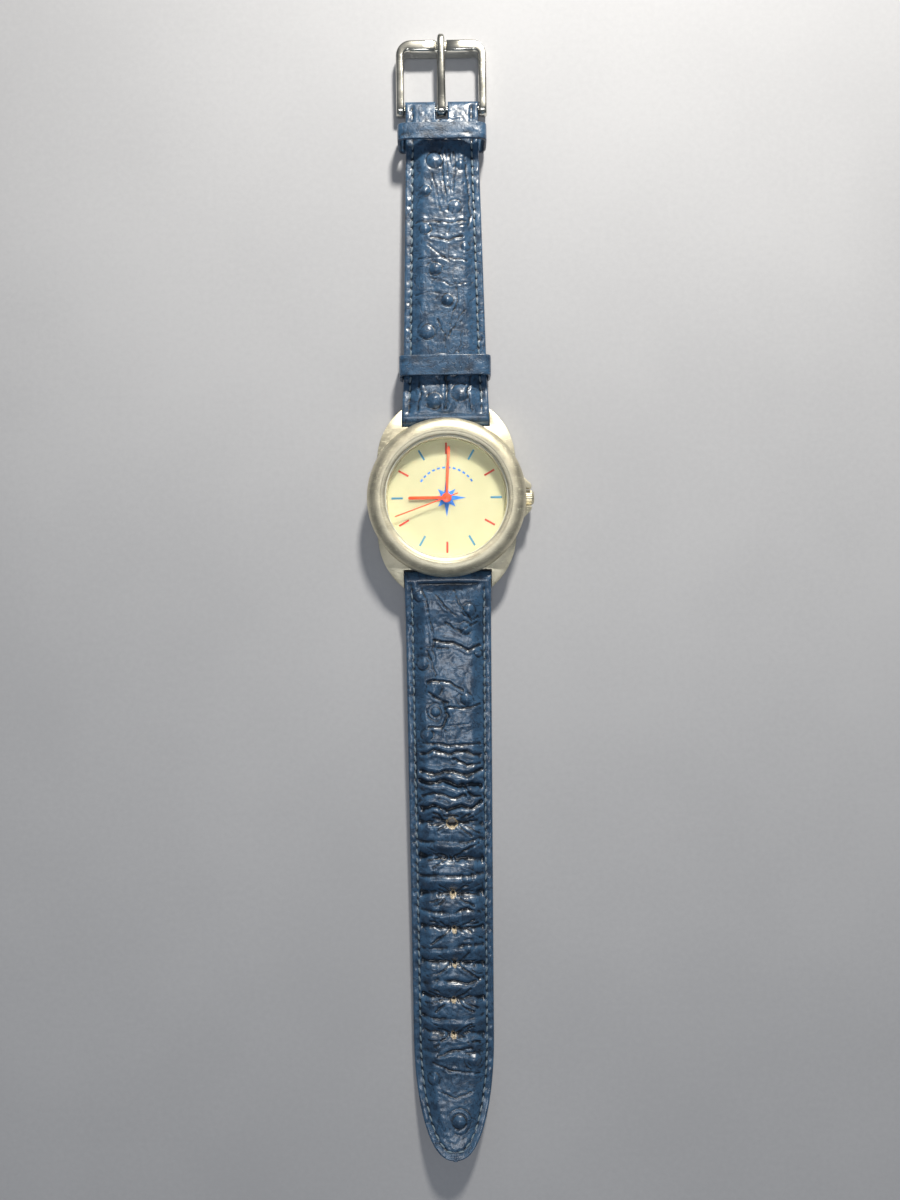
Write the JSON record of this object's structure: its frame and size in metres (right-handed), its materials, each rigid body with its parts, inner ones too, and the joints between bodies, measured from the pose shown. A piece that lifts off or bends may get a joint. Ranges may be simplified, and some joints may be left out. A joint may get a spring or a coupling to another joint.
{
  "type": "wristwatch",
  "caption": "Round-cased quartz wristwatch with a padded leather strap, sliding and fixed keepers and a pin buckle, laid out flat, with its hands driven by a modelled going train",
  "frame": {"origin": "On the dial's axis, at the flat outer face of the case back, which is what the watch rests on.", "axes": "+Y runs towards 12 o'clock, the upper strap and the buckle; +X towards the crown at 3 o'clock; +Z out of the dial. The strap lies along Y."},
  "size_m": [0.0346, 0.2339, 0.0085],
  "materials": {
    "case_steel": "matte sandblasted pale champagne-silver with fine scratches",
    "polished_steel": "polished",
    "plain_steel": "machined",
    "crystal_glass": "clear, polished",
    "gasket_white": "translucent white ring",
    "gasket_black": "matt black",
    "dial_cream": "matt cream",
    "mark_red": "raised matt paint",
    "mark_blue": "raised matt paint",
    "motif_blue": "printed",
    "hand_orange": "satin orange-red lacquer",
    "brass": "machined",
    "nickel": "nickel plated",
    "white_plastic": "moulded",
    "holder_plastic": "moulded",
    "board_green": "solder-masked board",
    "copper": "enamelled copper wire",
    "magnet": "ground",
    "soft_iron": "plated",
    "navy_leather": "semi-gloss, quill-bump grain",
    "lining_leather": "matt brown",
    "padding_board": "fibre board and felt",
    "thread": "pale blue waxed thread"
  },
  "bodies": {
    "head": {"case_middle": "case_steel", "bezel": "case_steel", "crystal": "crystal_glass", "crystal_gasket": "gasket_white", "case_back": "case_steel", "case_back_gasket": "gasket_black", "stem_tube": "plain_steel", "upper_spring_bar": "plain_steel", "lower_spring_bar": "plain_steel", "movement_holder": "holder_plastic", "main_plate": "nickel", "train_bridge": "nickel", "bridge_screws": "plain_steel", "circuit_board": "board_green", "quartz_can": "plain_steel", "coil": "copper", "stator": "soft_iron", "battery": "plain_steel", "battery_clamp": "plain_steel", "dial": "dial_cream", "red_hour_marks": "mark_red", "blue_hour_marks": "mark_blue", "dial_motif": "motif_blue"},
    "seconds": {"fourth_wheel": "white_plastic", "second_hand": "hand_orange"},
    "fifth": {"fifth_wheel": "white_plastic"},
    "stepping_rotor": {"rotor": "magnet"},
    "third": {"third_wheel": "brass"},
    "minutes": {"centre_wheel": "brass", "cannon_pinion": "brass", "minute_hand": "hand_orange"},
    "motion": {"minute_wheel": "white_plastic"},
    "hours": {"hour_wheel": "brass", "hour_hand": "hand_orange"},
    "setting": {"setting_wheel": "plain_steel"},
    "clutch": {"sliding_pinion": "plain_steel"},
    "crown_and_stem": {"crown": "case_steel", "winding_stem": "plain_steel", "crown_gasket": "gasket_black"},
    "lever": {"setting_lever": "plain_steel"},
    "upper_strap": {"upper_strap_leather": "navy_leather", "upper_strap_lining": "lining_leather", "upper_strap_padding": "padding_board", "upper_strap_stitching": "thread", "fixed_keeper": "navy_leather", "buckle_bar": "polished_steel"},
    "keeper": {"free_keeper": "navy_leather"},
    "buckle": {"buckle_frame": "polished_steel"},
    "tongue": {"buckle_tongue": "polished_steel"},
    "lower_strap": {"lower_strap_leather": "navy_leather", "lower_strap_lining": "lining_leather", "lower_strap_padding": "padding_board", "lower_strap_stitching": "thread"}
  },
  "joints": [
    {"name": "second_hand_turn", "type": "hinge", "parent": "head", "child": "seconds", "pos_m": [0, 0, 0.005], "axis": [0, 0, -1], "continuous": true},
    {"name": "fifth_wheel_turn", "type": "hinge", "parent": "head", "child": "fifth", "pos_m": [-0.00187, -0.00187, 0.0025], "axis": [0, 0, -1], "continuous": true},
    {"name": "rotor_turn", "type": "hinge", "parent": "head", "child": "stepping_rotor", "pos_m": [-0.00273, -0.00423, 0.0025], "axis": [0, 0, -1], "continuous": true},
    {"name": "third_wheel_turn", "type": "hinge", "parent": "head", "child": "third", "pos_m": [0.00126, 0.00218, 0.003], "axis": [0, 0, -1], "continuous": true},
    {"name": "minute_hand_turn", "type": "hinge", "parent": "head", "child": "minutes", "pos_m": [0, 0, 0.0045], "axis": [0, 0, -1], "continuous": true},
    {"name": "minute_wheel_turn", "type": "hinge", "parent": "head", "child": "motion", "pos_m": [0.00226, 0.00082, 0.0043], "axis": [0, 0, -1], "continuous": true},
    {"name": "hour_hand_turn", "type": "hinge", "parent": "head", "child": "hours", "pos_m": [0, 0, 0.005], "axis": [0, 0, -1], "continuous": true},
    {"name": "setting_wheel_turn", "type": "hinge", "parent": "head", "child": "setting", "pos_m": [0.00467, 0.00017, 0.0043], "axis": [0, 0, -1], "continuous": true},
    {"name": "crown_turn", "type": "hinge", "parent": "head", "child": "clutch", "pos_m": [0.006, 0, 0.00335], "axis": [1, 0, 0], "continuous": true},
    {"name": "crown_pull", "type": "slide", "parent": "clutch", "child": "crown_and_stem", "axis": [1, 0, 0], "range_m": [0, 0.0008]},
    {"name": "setting_lever_turn", "type": "hinge", "parent": "head", "child": "lever", "pos_m": [0.0082, 0.002, 0.0025], "axis": [0, 0, 1], "range_deg": [-1, 24]},
    {"name": "upper_strap_hinge", "type": "hinge", "parent": "head", "child": "upper_strap", "pos_m": [0, 0.0171, 0.0034], "axis": [1, 0, 0], "range_deg": [-85, 20]},
    {"name": "lower_strap_hinge", "type": "hinge", "parent": "head", "child": "lower_strap", "pos_m": [0, -0.0171, 0.0034], "axis": [-1, 0, 0], "range_deg": [-85, 20]},
    {"name": "free_keeper_slide", "type": "slide", "parent": "upper_strap", "child": "keeper", "axis": [0, 1, 0], "range_m": [0, 0.044]},
    {"name": "buckle_hinge", "type": "hinge", "parent": "upper_strap", "child": "buckle", "pos_m": [0, 0.0822, 0.0017], "axis": [1, 0, 0], "range_deg": [-80, 30]},
    {"name": "buckle_tongue_hinge", "type": "hinge", "parent": "buckle", "child": "tongue", "pos_m": [0, 0.0822, 0.0017], "axis": [1, 0, 0], "range_deg": [0, 90]}
  ],
  "couplings": [
    {"joint": "fifth_wheel_turn", "follows": "second_hand_turn", "ratio": -5},
    {"joint": "rotor_turn", "follows": "second_hand_turn", "ratio": 30},
    {"joint": "third_wheel_turn", "follows": "second_hand_turn", "ratio": -0.13333},
    {"joint": "minute_hand_turn", "follows": "second_hand_turn", "ratio": 0.016667},
    {"joint": "minute_wheel_turn", "follows": "second_hand_turn", "ratio": -0.0055556},
    {"joint": "hour_hand_turn", "follows": "second_hand_turn", "ratio": 0.0013889},
    {"joint": "setting_wheel_turn", "follows": "second_hand_turn", "ratio": 0.014286},
    {"joint": "setting_lever_turn", "follows": "crown_pull", "rad_per_m": 500}
  ]
}
